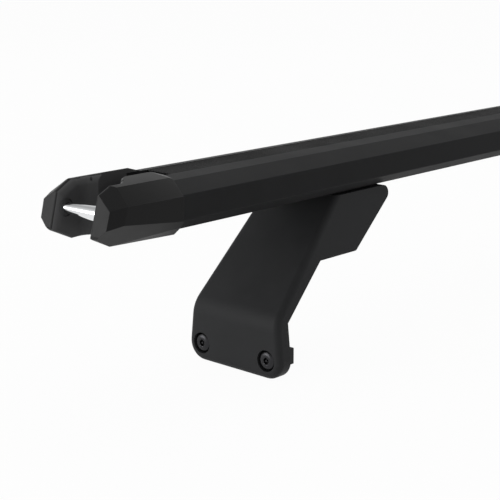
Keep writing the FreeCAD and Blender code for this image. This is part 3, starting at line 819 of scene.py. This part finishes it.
@dataclass
class EndCap:
    """Forked cap of one end with rounded edges, and its pin and screws.

    Sizes are in millimetres. Shapes are made for the left end and brought to their own end at last. An inset
    is a distance from the tip. A fall or taper is the change from the rear of the cap's side to its nose.
    """

    paint: Paintbox
    side: Side
    bar: BarSection = BarSection()
    nose: Nose = Nose()
    rear: Rear = Rear()
    fork: Fork = Fork()
    painted_light_walls: PaintedLightWalls = PaintedLightWalls()
    tip_x: float = -762.0
    side_proud: float = 1.2
    side_taper: float = 5.6
    ridge_drop: float = 0.4
    ridge_fall: float = 1.2
    low_drop: float = 1.8
    low_fall: float = 0.1
    keel_half: float = 24.0
    keel_taper: float = 6.5
    floor_drop: float = 4.6
    floor_fall: float = 0.6
    roof_rise: float = 2.2
    roof_slope: float = 0.2333
    edge_round: float = 1.2
    bar_start: float = 55.4
    fit: float = 0.15
    pin_inset: float = 10.7
    pin_height: float = 14.9
    pin_seat_radius: float = 5.15
    point_seat_radius: float = 3.35
    pin_fit: float = 0.05
    pin_hold: float = 12.0
    point_hold: float = 7.2
    pin_chamfer: float = 0.4
    ring_radius: float = 5.6
    ring_depth: float = 0.9
    screw_inset: float = 59.0
    screw_spread: float = 18.0
    well_across: float = 7.0
    well_roof: float = -2.2
    dimple_inset: float = 29.5
    dimple_spread: float = 14.3
    dimple_radius: float = 0.9
    dimple_depth: float = 1.5
    cut_half: float = 36.0
    cut_end: float = 110.0
    cut_floor: float = -40.0
    cut_top: float = 80.0

    def build(self) -> None:
        """Build the cap and its pin, and dress its screws."""
        self.build_cap()
        self.build_pin()
        self.paint.dress("end_cap_screws_" + self.side.label, BLACK_STEEL)

    def place(self, inset: float, across: float, height: float) -> Vector:
        """Point by its distance from the tip, across the bar, and above the bar's underside."""
        return Vector((self.tip_x + inset, across, self.bar.underside + height))

    def roof_height(self, across: float) -> float:
        """Height of the cap's roof at a distance from the middle of the bar."""
        return self.bar.top + self.roof_rise + self.roof_slope * (self.bar.top_half - across)

    def narrowing(self, inset: float) -> float:
        """Share of the taper at a distance from the tip: 0 at the rear of the side and 1 at the nose."""
        return (self.rear.side - inset) / (self.rear.side - self.nose.side_start)

    def floor_height(self, inset: float) -> float:
        """Height of the cap's floor at a distance from the tip."""
        return -self.floor_drop - self.floor_fall * self.narrowing(inset)

    def corner(self, name: CapCorner, inset: float) -> Vector:
        """Corner of the cap's section at y > 0.

        Args:
            name: Which corner.
            inset: Distance from the tip.

        Returns:
            The corner.
        """
        share = self.narrowing(inset)
        side = self.bar.half + self.side_proud - self.side_taper * share
        spots = {
            CapCorner.ROOF: (0.0, self.roof_height(0.0)),
            CapCorner.SHOULDER: (self.bar.top_half, self.roof_height(self.bar.top_half)),
            CapCorner.RIDGE: (side, self.bar.ridge - self.ridge_drop - self.ridge_fall * share),
            CapCorner.LOW: (side, self.bar.low - self.low_drop - self.low_fall * share),
            CapCorner.KEEL: (self.keel_half - self.keel_taper * share, self.floor_height(inset)),
            CapCorner.FLOOR: (0.0, self.floor_height(inset)),
        }
        return self.place(inset, *spots[name])

    def end_planes(self) -> list[Plane]:
        """Planes that bound the cap at its nose and rear at y > 0, from the end face to the floor's ramp.

        Returns:
            The planes.
        """
        half, nose, rear = self.bar.half, self.nose, self.rear
        across, up = Vector((0.0, 10.0, 0.0)), Vector((0.0, 0.0, 10.0))
        high = self.place(nose.high_inset, half - nose.high_in, self.bar.ridge - nose.high_drop)
        low = self.place(nose.low_inset, half - nose.low_in, self.bar.low + nose.low_rise)
        keel = self.place(0.0, half - nose.keel_in, nose.keel_height)
        ridge = self.corner(CapCorner.RIDGE, nose.side_start)
        shoulder = self.corner(CapCorner.SHOULDER, nose.shoulder_start)
        nose_keel = self.corner(CapCorner.KEEL, nose.floor_start)
        rear_side = self.place(rear.side, half + self.side_proud, 0.0)
        rear_slot = self.place(rear.centre, rear.slot_half, self.bar.slot_edge)
        ramp_top = self.corner(CapCorner.ROOF, rear.centre - rear.ramp)
        ramp_top += Vector((0.0, self.fork.notch_half, -self.roof_slope * self.fork.notch_half))
        ramp_outer = self.corner(CapCorner.SHOULDER, rear.centre - rear.ramp_outer)
        floor_start = self.corner(CapCorner.FLOOR, rear.centre - rear.floor_lead)
        floor_end = self.place(rear.centre + rear.floor_tail, 0.0, 0.0)
        return [
            (high, keel, keel - across),
            (high, ridge, shoulder),
            (high, low, ridge),
            (low, keel, nose_keel),
            (keel, nose_keel, nose_keel - across),
            (rear_side, rear_slot, rear_slot + up),
            (ramp_top, ramp_outer, rear_slot),
            (floor_start, floor_end, floor_end + across),
        ]

    def roof_plane(self) -> Plane:
        """Plane of the roof at y > 0."""
        first, last = self.corner(CapCorner.ROOF, 10.0), self.corner(CapCorner.ROOF, 30.0)
        return first, last, self.corner(CapCorner.SHOULDER, 20.0)

    def body(self) -> bpy.types.Object:
        """Faceted body with rounded outer edges, before anything is cut out of it.

        Returns:
            The body.
        """
        insets = (-8.0, 3.0, self.nose.side_start, 22.0, 30.0, 38.0, 46.0, self.rear.side, 62.0, 70.0, 77.0)
        mesh = bmesh.new()
        rows = []
        for inset in insets:
            half = [self.corner(name, inset) for name in CapCorner]
            ring = half + [mirrored_across(point) for point in reversed(half[1:-1])]
            rows.append([mesh.verts.new(point) for point in ring])
        skin(mesh, rows)
        kept = self.place(self.fork.root, self.fork.half, self.bar.low)
        for corners in self.end_planes():
            slice_off(mesh, corners, kept)
            slice_off(mesh, tuple(mirrored_across(point) for point in corners), mirrored_across(kept))
        bmesh.ops.remove_doubles(mesh, verts=mesh.verts, dist=0.01)
        bmesh.ops.recalc_face_normals(mesh, faces=mesh.faces)
        outer = [edge for edge in mesh.edges if edge.calc_face_angle(0.0) > math.radians(8.0)]
        bmesh.ops.bevel(mesh, geom=outer, offset=self.edge_round, offset_type="OFFSET", segments=3,
                        profile=0.5, affect="EDGES", clamp_overlap=True)
        return finished_object("cap_body", mesh)

    def bar_outline(self) -> list[tuple[float, float]]:
        """Bar's outer section, grown by the fit, all the way round from the bottom corner at y > 0.

        Returns:
            Corners of the section, across the bar and above its underside.
        """
        bar, grow = self.bar, self.fit
        low_angle = math.atan2(bar.low, bar.half - bar.keel_half)
        top_angle = math.atan2(bar.top - bar.ridge, bar.half - bar.top_half)
        half = [
            (bar.keel_half + grow * math.tan(low_angle / 2), -grow),
            (bar.half + grow, bar.low - grow * math.tan((math.pi / 2 - low_angle) / 2)),
            (bar.half + grow, bar.ridge + grow * math.tan((math.pi / 2 - top_angle) / 2)),
            (bar.top_half + grow * math.sin((top_angle + bar.crown_angle) / 2), bar.top + grow),
        ]
        top = (0.0, bar.top + bar.crown_slope * bar.top_half + grow)
        return half + [top] + [(-across, height) for across, height in reversed(half)]

    def cutters(self) -> list[bpy.types.Object]:
        """Everything that is cut out of the body, in the order of the cuts.

        Returns:
            The cutters.
        """
        made = [self.bar_seat(), self.fork_gap(), self.slot_notch(), self.tip_rounding(), self.pin_seat(),
                self.pin_ring()]
        for sign in (1, -1):
            made.extend(self.rim_cutters(sign))
            made.append(self.screw_well(sign))
            made.append(self.dimple(sign))
        return made

    def along_bar(self, name: str, outline: list[tuple[float, float]], start: float,
                  end: float) -> bpy.types.Object:
        """Solid of one section along the bar.

        Args:
            name: Name of the object.
            outline: Corners of the section, across the bar and above its underside.
            start: Distance from the tip where it starts.
            end: Distance from the tip where it ends.

        Returns:
            The solid.
        """
        ends = []
        for inset in (start, end):
            ends.append([self.place(inset, across, height) for across, height in outline])
        return prism(name, *ends)

    def bar_seat(self) -> bpy.types.Object:
        """Room for the end of the bar."""
        return self.along_bar("bar_seat", self.bar_outline(), self.bar_start - self.fit, self.cut_end)

    def slot_notch(self) -> bpy.types.Object:
        """Slot through the root, in line with the slot of the bar.

        Returns:
            The cutter.
        """
        half, floor, top = self.fork.notch_half, self.bar.slot_floor, self.cut_top
        outline = [(half, floor), (half, top), (-half, top), (-half, floor)]
        return self.along_bar("slot_notch", outline, self.fork.root - 1.0, self.cut_end + 1.0)

    def fork_gap(self) -> bpy.types.Object:
        """Space between the prongs, with rounded corners at the root.

        Returns:
            The cutter.
        """
        half = self.fork.outline()
        outline = half + [Vector((point.x, -point.y)) for point in reversed(half)]
        ends = []
        for height in (self.cut_floor, self.cut_top):
            ends.append([self.place(point.x, point.y, height) for point in outline])
        return prism("fork_gap", *ends)

    def about_pin(self, name: str, profile: list[tuple[float, float]],
                  segments: int = 48) -> bpy.types.Object:
        """Turned shape about the axis of the pin.

        Args:
            name: Name of the object.
            profile: Place along the axis and radius of each ring.
            segments: Number of points in a ring.

        Returns:
            The shape, in millimetres.
        """
        shape = Turning(segments)
        for along, radius in profile:
            shape.add(Ring(along, radius))
        made = shape.build(name, scale=1.0)
        made.data.transform(Matrix.Translation(self.place(self.pin_inset, 0.0, self.pin_height)) @ ACROSS)
        return made

    def pin_seat(self) -> bpy.types.Object:
        """Holes of the pin in both prongs, as one turned shape across them.

        Returns:
            The cutter.
        """
        half, thick, thin = self.fork.half, self.pin_seat_radius, self.point_seat_radius
        start, end = -half - self.pin_hold - self.pin_fit, half + self.point_hold + self.pin_fit
        return self.about_pin("pin_seat", [(start, thick), (-half, thick), (half, thin), (end, thin)])

    def pin_ring(self) -> bpy.types.Object:
        """Shallow round recess about the thin end of the pin.

        Returns:
            The cutter.
        """
        wall = self.fork.wall(self.pin_inset)
        outline = [(wall - 1.0, self.ring_radius), (wall + self.ring_depth, self.ring_radius)]
        return self.about_pin("pin_ring", outline)

    def tip_rounding(self) -> bpy.types.Object:
        """Shape that rounds the end face into the rising plane below it, across both prongs.

        Returns:
            The cutter.
        """
        corner = Vector((0.0, 0.0, self.nose.keel_height))
        up = Vector((self.nose.rake, 0.0, 1.0))
        back = Vector((self.nose.floor_start, 0.0, -self.nose.floor_fall))
        outline = rounded_corner(corner + up * ARM, corner, corner + back, self.nose.tip_radius)
        below, ahead, above = Vector((-1.5, 0.0, -3.0)), Vector((-4.0, 0.0, -2.5)), Vector((-3.0, 0.0, 0.8))
        outline += [outline[-1] + below, corner + ahead, outline[0] + above]
        ends = []
        for across in (-self.cut_half, self.cut_half):
            ends.append([self.place(point.x, across, point.z) for point in outline])
        return prism("tip_rounding", *ends)

    def rim_cutters(self, sign: int) -> list[bpy.types.Object]:
        """Shapes that round every rim of the gap on one side, but not the edges of the slot.

        Args:
            sign: 1 for the prong at y > 0, -1 for the other.

        Returns:
            The cutters.
        """
        nose, fork = self.nose, self.fork
        floor = self.floor_height(nose.floor_start)
        keel = Vector((0.0, fork.wall(0.0), nose.keel_height))
        low = Vector((nose.floor_start, fork.wall(nose.floor_start), floor))
        end_face, upper_face = self.end_planes()[:2]
        high = self.rim_corner(end_face, upper_face)
        roof = self.rim_corner(upper_face, self.roof_plane())
        radius = fork.near_rim if sign < 0 else fork.far_rim
        under_face = Vector((floor - nose.keel_height, 0.0, -nose.floor_start))
        return [
            self.straight_rim(keel, high, Vector((-1.0, 0.0, nose.rake)), radius, sign),
            self.straight_rim(high, roof, upward_normal(upper_face), radius, sign),
            self.straight_rim(low, keel, under_face, fork.floor_rim, sign),
            self.swept_rim(True, radius, sign),
            self.swept_rim(False, fork.floor_rim, sign),
        ]

    def rim_corner(self, plane: Plane, other: Plane) -> Vector:
        """Point where two of the cap's planes meet the inner wall at y > 0.

        Args:
            plane: First plane.
            other: Second plane.

        Returns:
            Inset, across and height of the point.
        """
        rows = [self.fork.inwards]
        sides = [self.fork.inwards.dot(self.place(0.0, self.fork.wall(0.0), 0.0))]
        for corners in (plane, other):
            normal = upward_normal(corners)
            rows.append(normal)
            sides.append(normal.dot(corners[0]))
        return Matrix(rows).inverted() @ Vector(sides) - self.place(0.0, 0.0, 0.0)

    def straight_rim(self, start: Vector, end: Vector, face: Vector, radius: float,
                     sign: int) -> bpy.types.Object:
        """Shape that rounds one straight rim between the inner wall and a plane of the nose.

        Args:
            start: One end of the rim, as inset, across and height at y > 0.
            end: Its other end.
            face: Normal of the plane, pointing out of the cap.
            radius: Radius of the rounding.
            sign: 1 for the prong at y > 0, -1 for the other.

        Returns:
            The cutter, a little longer than the rim.
        """
        along, face = (end - start).normalized(), face.normalized()
        inwards = self.fork.inwards.normalized()
        outward, down = along.cross(face), along.cross(inwards)
        outward = outward if outward.y > 0 else -outward
        down = down if down.dot(face) < 0 else -down
        section = rounded_corner(outward * ARM, Vector((0.0, 0.0, 0.0)), down * ARM, radius)
        section += [section[-1] + inwards, inwards + face * LIFT, section[0] + face * LIFT]
        overrun = 5.0
        ends = []
        for middle in (start - along * overrun, end + along * overrun):
            spots = [(middle.x + point.x, middle.y + point.y, middle.z + point.z) for point in section]
            ends.append([self.place(inset, sign * across, height) for inset, across, height in spots])
        return prism("straight_rim", *ends)

    def swept_rim(self, top: bool, radius: float, sign: int) -> bpy.types.Object:
        """Shape that rounds the rim of the gap along the roof or the floor of the cap, round to the slot.

        Args:
            top: True for the roof, False for the floor.
            radius: Radius of the rounding.
            sign: 1 for the prong at y > 0, -1 for the other.

        Returns:
            The cutter.
        """
        first, overrun = 4.0, 2.0
        path = self.fork.outline()
        path[0] = Vector((first, self.fork.wall(first)))
        path[-1] += (path[-1] - path[-2]).normalized() * overrun
        upwards = 1.0 if top else -1.0
        lift = Vector((0.0, 0.0, LIFT * upwards))
        mesh = bmesh.new()
        rows = []
        for step, point in enumerate(path):
            onward = (path[min(step + 1, len(path) - 1)] - path[max(step - 1, 0)]).normalized()
            away = Vector((-onward.y, onward.x))
            height = self.roof_height(point.y) if top else self.floor_height(point.x)
            tilt = -self.roof_slope * away.y if top else 0.0
            corner = Vector((point.x, point.y, height))
            outward, down = Vector((away.x, away.y, tilt)), Vector((0.0, 0.0, -upwards))
            section = rounded_corner(corner + outward * ARM, corner, corner + down * ARM, radius)
            inward = Vector((-away.x, -away.y, 0.0))
            section += [section[-1] + inward, corner + inward + lift, section[0] + lift]
            rows.append([mesh.verts.new(self.place(spot.x, sign * spot.y, spot.z)) for spot in section])
        skin(mesh, rows)
        return finished_object("swept_rim", mesh)

    def screw_well(self, sign: int) -> bpy.types.Object:
        """Hexagonal well of one screw's head in the keel.

        Args:
            sign: 1 for the prong at y > 0, -1 for the other.

        Returns:
            The cutter.
        """
        middle = self.place(self.screw_inset, sign * self.screw_spread, 0.0)
        reach = self.well_across / math.sqrt(3.0)
        outline = []
        for step in range(6):
            angle = math.radians(60.0 * step)
            x, y = middle.x + reach * math.cos(angle), middle.y + reach * math.sin(angle)
            outline.append(Vector((x, y, 0.0)))
        roof = Vector((0.0, 0.0, self.bar.underside + self.well_roof))
        low = Vector((0.0, 0.0, self.bar.underside + self.cut_floor))
        return prism("screw_well", [point + low for point in outline], [point + roof for point in outline])

    def dimple(self, sign: int) -> bpy.types.Object:
        """Small blind hole in the top of one prong.

        Args:
            sign: 1 for the prong at y > 0, -1 for the other.

        Returns:
            The cutter.
        """
        middle, radius = self.place(self.dimple_inset, sign * self.dimple_spread, 0.0), self.dimple_radius
        outline = []
        for step in range(24):
            angle = math.radians(15.0 * step)
            outline.append(Vector((radius * math.cos(angle), radius * math.sin(angle), 0.0)))
        low = middle + Vector((0.0, 0.0, self.bar.slot_edge - self.dimple_depth))
        high = middle + Vector((0.0, 0.0, self.cut_top))
        return prism("dimple", [low + point for point in outline], [high + point for point in outline])

    def bring_home(self, mesh: bpy.types.Mesh) -> None:
        """Turn a mesh made for the left end in millimetres into one of this end in metres.

        Args:
            mesh: The mesh.
        """
        flip = -MM if self.side is Side.RIGHT else MM
        mesh.transform(Matrix.Diagonal((flip, MM, MM, 1.0)))
        if self.side is Side.RIGHT:
            mesh.flip_normals()

    def build_pin(self) -> None:
        """Turn the tapered pin across the fork and put it in the stead of the plain one."""
        name = "tie_down_pin_" + self.side.label
        half, chamfer = self.fork.half, self.pin_chamfer
        full, thin = self.pin_seat_radius - self.pin_fit, self.point_seat_radius - self.pin_fit
        start, end = -half - self.pin_hold, half + self.point_hold
        profile = [(start, full - chamfer), (start + chamfer, full), (-half, full),
                   (half, thin), (end - chamfer, thin), (end, thin - chamfer)]
        piece = self.about_pin("turned_" + name, profile, 64)
        self.bring_home(piece.data)
        piece.data.materials.append(self.paint.get(BRIGHT_PIN))
        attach(piece, "bar")
        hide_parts(name)
        LOG.info("built %s", piece.name)

    def paint_fork_light(self, mesh: bpy.types.Mesh) -> None:
        """Paint light on the inner walls of the fork and of the slot: a rougher, much lighter copy of the
        cap's material that brightens the walls the fork shades.

        Args:
            mesh: Mesh of the finished cap, in metres.
        """
        limits, lightened = self.painted_light_walls, 0
        for face in mesh.polygons:
            inset = abs(self.tip_x) - abs(face.center.x) / MM
            inwards = -face.normal.y * math.copysign(1.0, face.center.y)
            outwards = face.normal.x * math.copysign(1.0, face.center.x)
            if inset <= limits.root_start:
                outwards = 0.0
            turned = math.hypot(max(inwards, 0.0), max(outwards, 0.0))
            in_fork = turned > limits.least_turn and inset < self.fork.root + limits.past_root
            off_slot = abs(abs(face.center.y) - self.fork.notch_half * MM)
            in_slot = off_slot < limits.slot_margin * MM and abs(face.normal.y) > limits.slot_turn
            if in_fork or in_slot:
                # these faces take the painted light
                face.material_index = 1
                lightened += 1
        LOG.info("lined %d faces of the fork", lightened)

    def build_cap(self) -> None:
        """Cut the cap out of its body and put it in the stead of the plain one."""
        name = "end_cap_" + self.side.label
        piece = carved(self.body(), self.cutters(), "rounded_" + name)
        self.bring_home(piece.data)
        settle_normals(piece)
        piece.data.materials.append(self.paint.get(CAP_MOULDING))
        # second material: painted light on the shaded walls of the fork and slot
        piece.data.materials.append(self.paint.get(FORK_PAINTED_LIGHT))
        self.paint_fork_light(piece.data)
        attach(piece, "bar")
        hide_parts(name)
        LOG.info("built %s", piece.name)


@dataclass
class Foot:
    """Cast foot of one end with its pads, clamp and mounting bolts.

    Sizes are in millimetres. Places along a bolt are measured from the face of the plate inwards.
    """

    paint: Paintbox
    side: Side
    plate_face_x: float = 620.2
    bolt_spread: float = 30.4
    bolt_height: float = 13.3
    bolt_turns: tuple[float, float] = (-19.0, 43.0)
    seat_depth: float = 4.4
    head_height: float = 4.3
    crown: tuple[tuple[float, float], ...] = ((0.0, 3.3), (0.12, 4.3), (0.45, 5.3), (1.0, 6.2), (1.55, 6.7),
                                              (2.2, 6.95), (2.8, 7.0))
    head_radius: float = 7.0
    head_chamfer: float = 0.25
    socket_half: float = 2.2
    socket_depth: float = 2.2
    socket_chamfer: float = 0.35
    socket_lip: float = 0.05
    socket_draft: float = 0.02
    centre_pin: tuple[tuple[float, float], ...] = ((0.4, 0.35), (0.4, 0.65), (0.6, 0.8))
    shank_radius: float = 4.2
    thread_radius: float = 3.95
    thread_depth: float = 0.6
    thread_pitch: float = 1.25
    shank_end: float = 18.1
    thread_start: float = 18.4
    thread_end: float = 24.1
    stud_end: float = 25.0
    stud_tip: tuple[tuple[float, float], ...] = ((-0.6, 3.45), (0.0, 2.9), (0.0, 0.6))

    def build(self) -> None:
        """Dress the foot's nodes and build its bolts."""
        finishes = {"foot_casting": FOOT_COAT, "foot_saddle_pad": PAD_RUBBER, "backing_pad": PAD_RUBBER,
                    "channel_nut": ZINC, "clamp_plate": ZINC, "clamp_bolts": ZINC}
        for node, finish in finishes.items():
            self.paint.dress(node + "_" + self.side.label, finish)
        self.build_mounting_bolts()

    def bolt_turning(self) -> Turning:
        """Rings of one mounting bolt, from the pin in its socket to the end of its thread.

        Returns:
            The bolt's rings.
        """
        top = self.seat_depth - self.head_height
        floor = top + self.socket_depth
        pin = [Ring(top + depth, radius) for depth, radius in self.centre_pin]
        socket = [
            Ring(floor, pin[-1].radius),
            Ring(floor, self.socket_half - self.socket_draft, RingShape.HEXAGON),
            Ring(top + self.socket_chamfer, self.socket_half, RingShape.HEXAGON),
            Ring(top + self.socket_lip, self.socket_half + self.socket_chamfer, RingShape.HEXAGON),
        ]
        crown = [Ring(top + depth, radius) for depth, radius in self.crown]
        shank = [
            Ring(self.seat_depth - self.head_chamfer, self.head_radius),
            Ring(self.seat_depth, self.head_radius - self.head_chamfer),
            Ring(self.seat_depth, self.shank_radius),
            Ring(self.shank_end, self.shank_radius),
        ]
        bolt = Turning()
        for ring in pin + socket + crown + shank:
            bolt.add(ring)
        bolt.thread(self.thread_start, self.thread_end, self.thread_radius, self.thread_depth,
                    self.thread_pitch)
        for along, radius in self.stud_tip:
            bolt.add(Ring(self.stud_end + along, radius))
        return bolt

    def build_mounting_bolts(self) -> None:
        """Place both mounting bolts in one piece, in the stead of the plain ones."""
        name = "mounting_bolts_" + self.side.label
        facing = Matrix.Identity(4) if self.side is Side.LEFT else Matrix.Rotation(math.pi, 4, "Z")
        parts = []
        for place, degrees in zip((-1, 1), self.bolt_turns):
            part = self.bolt_turning().build(name + "_part")
            turn = Matrix.Rotation(math.radians(degrees), 4, "X")
            spot = Vector((self.side.value * self.plate_face_x, place * self.bolt_spread, self.bolt_height))
            part.data.transform(Matrix.Translation(spot * MM) @ facing @ turn)
            parts.append(part)
        piece = joined(parts, "turned_" + name)
        piece.data.materials.append(self.paint.get(BLACK_STEEL))
        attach(piece, self.side.foot_body)
        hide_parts(name)
        LOG.info("built %s", piece.name)


def joined(parts: list[bpy.types.Object], name: str) -> bpy.types.Object:
    """Join objects whose places are in their meshes.

    Args:
        parts: Objects to join, removed here.
        name: Name of the result.

    Returns:
        One object with all their faces.
    """
    mesh = bmesh.new()
    for part in parts:
        mesh.from_mesh(part.data)
        bpy.data.objects.remove(part)
    return finished_object(name, mesh)


# studio


def background_rays(nodes: Nodes) -> bpy.types.NodeSocket:
    """One for rays that show the background: from the camera, off gloss and through glass.

    Args:
        nodes: Tree to build in.

    Returns:
        Output that is 1 for those rays and 0 for others.
    """
    path = nodes.add("LightPath")
    seen = nodes.math("MAXIMUM", path.outputs["Is Camera Ray"], path.outputs["Is Glossy Ray"])
    return nodes.math("MAXIMUM", seen, path.outputs["Is Transmission Ray"])


def show_mix(nodes: Nodes, output: str, factor: object, first: bpy.types.Node,
             second: bpy.types.Node) -> None:
    """Mix two shaders and link them to the output of their tree.

    Args:
        nodes: Tree to build in.
        output: Type of the output node without its ShaderNode prefix.
        factor: Share of the second shader.
        first: Shader at factor 0.
        second: Shader at factor 1.
    """
    mix = nodes.add("MixShader", Fac=factor)
    nodes.feed(mix.inputs[1], first.outputs[0])
    nodes.feed(mix.inputs[2], second.outputs[0])
    nodes.add(output, Surface=mix.outputs[0])


@dataclass(frozen=True)
class Softbox:
    """Square light that faces a target. Lengths are in metres and the power is in watts."""

    name: str
    place: tuple[float, float, float]
    target: tuple[float, float, float]
    size: float
    power: float

    def hang(self) -> None:
        """Add the light to the scene."""
        data = bpy.data.lights.new(self.name, "AREA")
        data.size = self.size
        data.energy = self.power
        lamp = bpy.data.objects.new(self.name, data)
        bpy.context.scene.collection.objects.link(lamp)
        lamp.location = self.place
        lamp.rotation_euler = (Vector(self.target) - Vector(self.place)).to_track_quat("-Z", "Y").to_euler()


@dataclass
class Studio:
    """Floor, light and camera. Lengths are in metres, apart from the camera's, and angles in degrees."""

    camera_place: tuple[float, float, float] = (-1.23757, -0.57408, 0.29108)
    camera_pitch: float = 13.643
    camera_heading: float = 42.109
    lens: float = 91.25
    sensor: float = 36.0
    floor_half: float = 40.0
    floor_color: tuple[float, float, float, float] = (0.8, 0.8, 0.8, 1.0)
    floor_white: float = 0.96
    white: tuple[float, float, float, float] = (1.0, 1.0, 1.0, 1.0)
    world_strength: float = 0.5
    ceiling: float = 0.25
    ceiling_from: float = 0.35
    ceiling_to: float = 0.75
    softboxes: tuple[Softbox, ...] = (
        Softbox("top_softbox", (-0.2, 0.3, 2.6), (0.0, 0.0, 0.0), 2.4, 16.0),
        Softbox("left_softbox", (-2.6, 1.4, 0.5), (-0.6, 0.0, 0.1), 1.4, 30.0),
        Softbox("back_softbox", (1.3, 1.8, 1.5), (-0.6, 0.0, 0.15), 1.2, 2.4),
    )

    def build(self) -> None:
        """Set up everything that isn't part of the object."""
        self.build_floor()
        self.build_world()
        self.build_camera()
        for softbox in self.softboxes:
            softbox.hang()
        bpy.context.scene.view_settings.view_transform = "Standard"

    def build_floor(self) -> None:
        """Plain white floor that shows white to the camera and keeps the object's soft shadow."""
        mesh = bmesh.new()
        half = self.floor_half
        corners = ((-half, -half), (half, -half), (half, half), (-half, half))
        mesh.faces.new([mesh.verts.new((x, y, 0.0)) for x, y in corners])
        floor = finished_object("studio_floor", mesh)
        made = bpy.data.materials.new("studio_floor")
        nodes = empty_nodes(made)
        plain = nodes.add("BsdfDiffuse", Color=self.floor_color)
        white = nodes.add("Emission", Color=self.white, Strength=1.0)
        seen = nodes.math("MULTIPLY", background_rays(nodes), self.floor_white)
        show_mix(nodes, "OutputMaterial", seen, plain, white)
        floor.data.materials.append(made)

    def build_world(self) -> None:
        """Even white surroundings: bright to the camera and to mirrors, softer as light."""
        world = bpy.data.worlds.new("studio_world")
        bpy.context.scene.world = world
        nodes = empty_nodes(world)
        up = nodes.add("SeparateXYZ", Vector=nodes.add("TexCoord").outputs["Generated"]).outputs["Z"]
        ceiling = nodes.ramp(up, self.ceiling_from, self.ceiling_to, 1.0, self.ceiling)
        camera = nodes.add("LightPath").outputs["Is Camera Ray"]
        light = nodes.add("Background", Color=self.white, Strength=self.world_strength)
        view = nodes.add("Background", Color=self.white, Strength=nodes.math("MAXIMUM", ceiling, camera))
        show_mix(nodes, "OutputWorld", background_rays(nodes), light, view)

    def build_camera(self) -> None:
        """Camera at the photograph's place and angle."""
        data = bpy.data.cameras.new("camera")
        data.lens = self.lens
        data.sensor_width = self.sensor
        data.clip_start = 0.01
        data.clip_end = 200.0
        camera = bpy.data.objects.new("camera", data)
        bpy.context.scene.collection.objects.link(camera)
        camera.location = self.camera_place
        pitch, heading = math.radians(90 - self.camera_pitch), math.radians(self.camera_heading - 90)
        camera.rotation_euler = (pitch, 0.0, heading)
        bpy.context.scene.camera = camera


def plain(bounds: tuple) -> list[list[float]]:
    """Bounds as plain lists of numbers."""
    return [[float(value) for value in corner] for corner in bounds]


def main() -> None:
    """Build the studio and the crossbar."""
    logging.basicConfig(level=logging.INFO, format="%(message)s")
    paint = Paintbox()
    Studio().build()
    LoadBar(paint).build()
    for side in Side:
        EndCap(paint, side).build()
        Foot(paint, side).build()


if __name__ == "__main__":
    main()
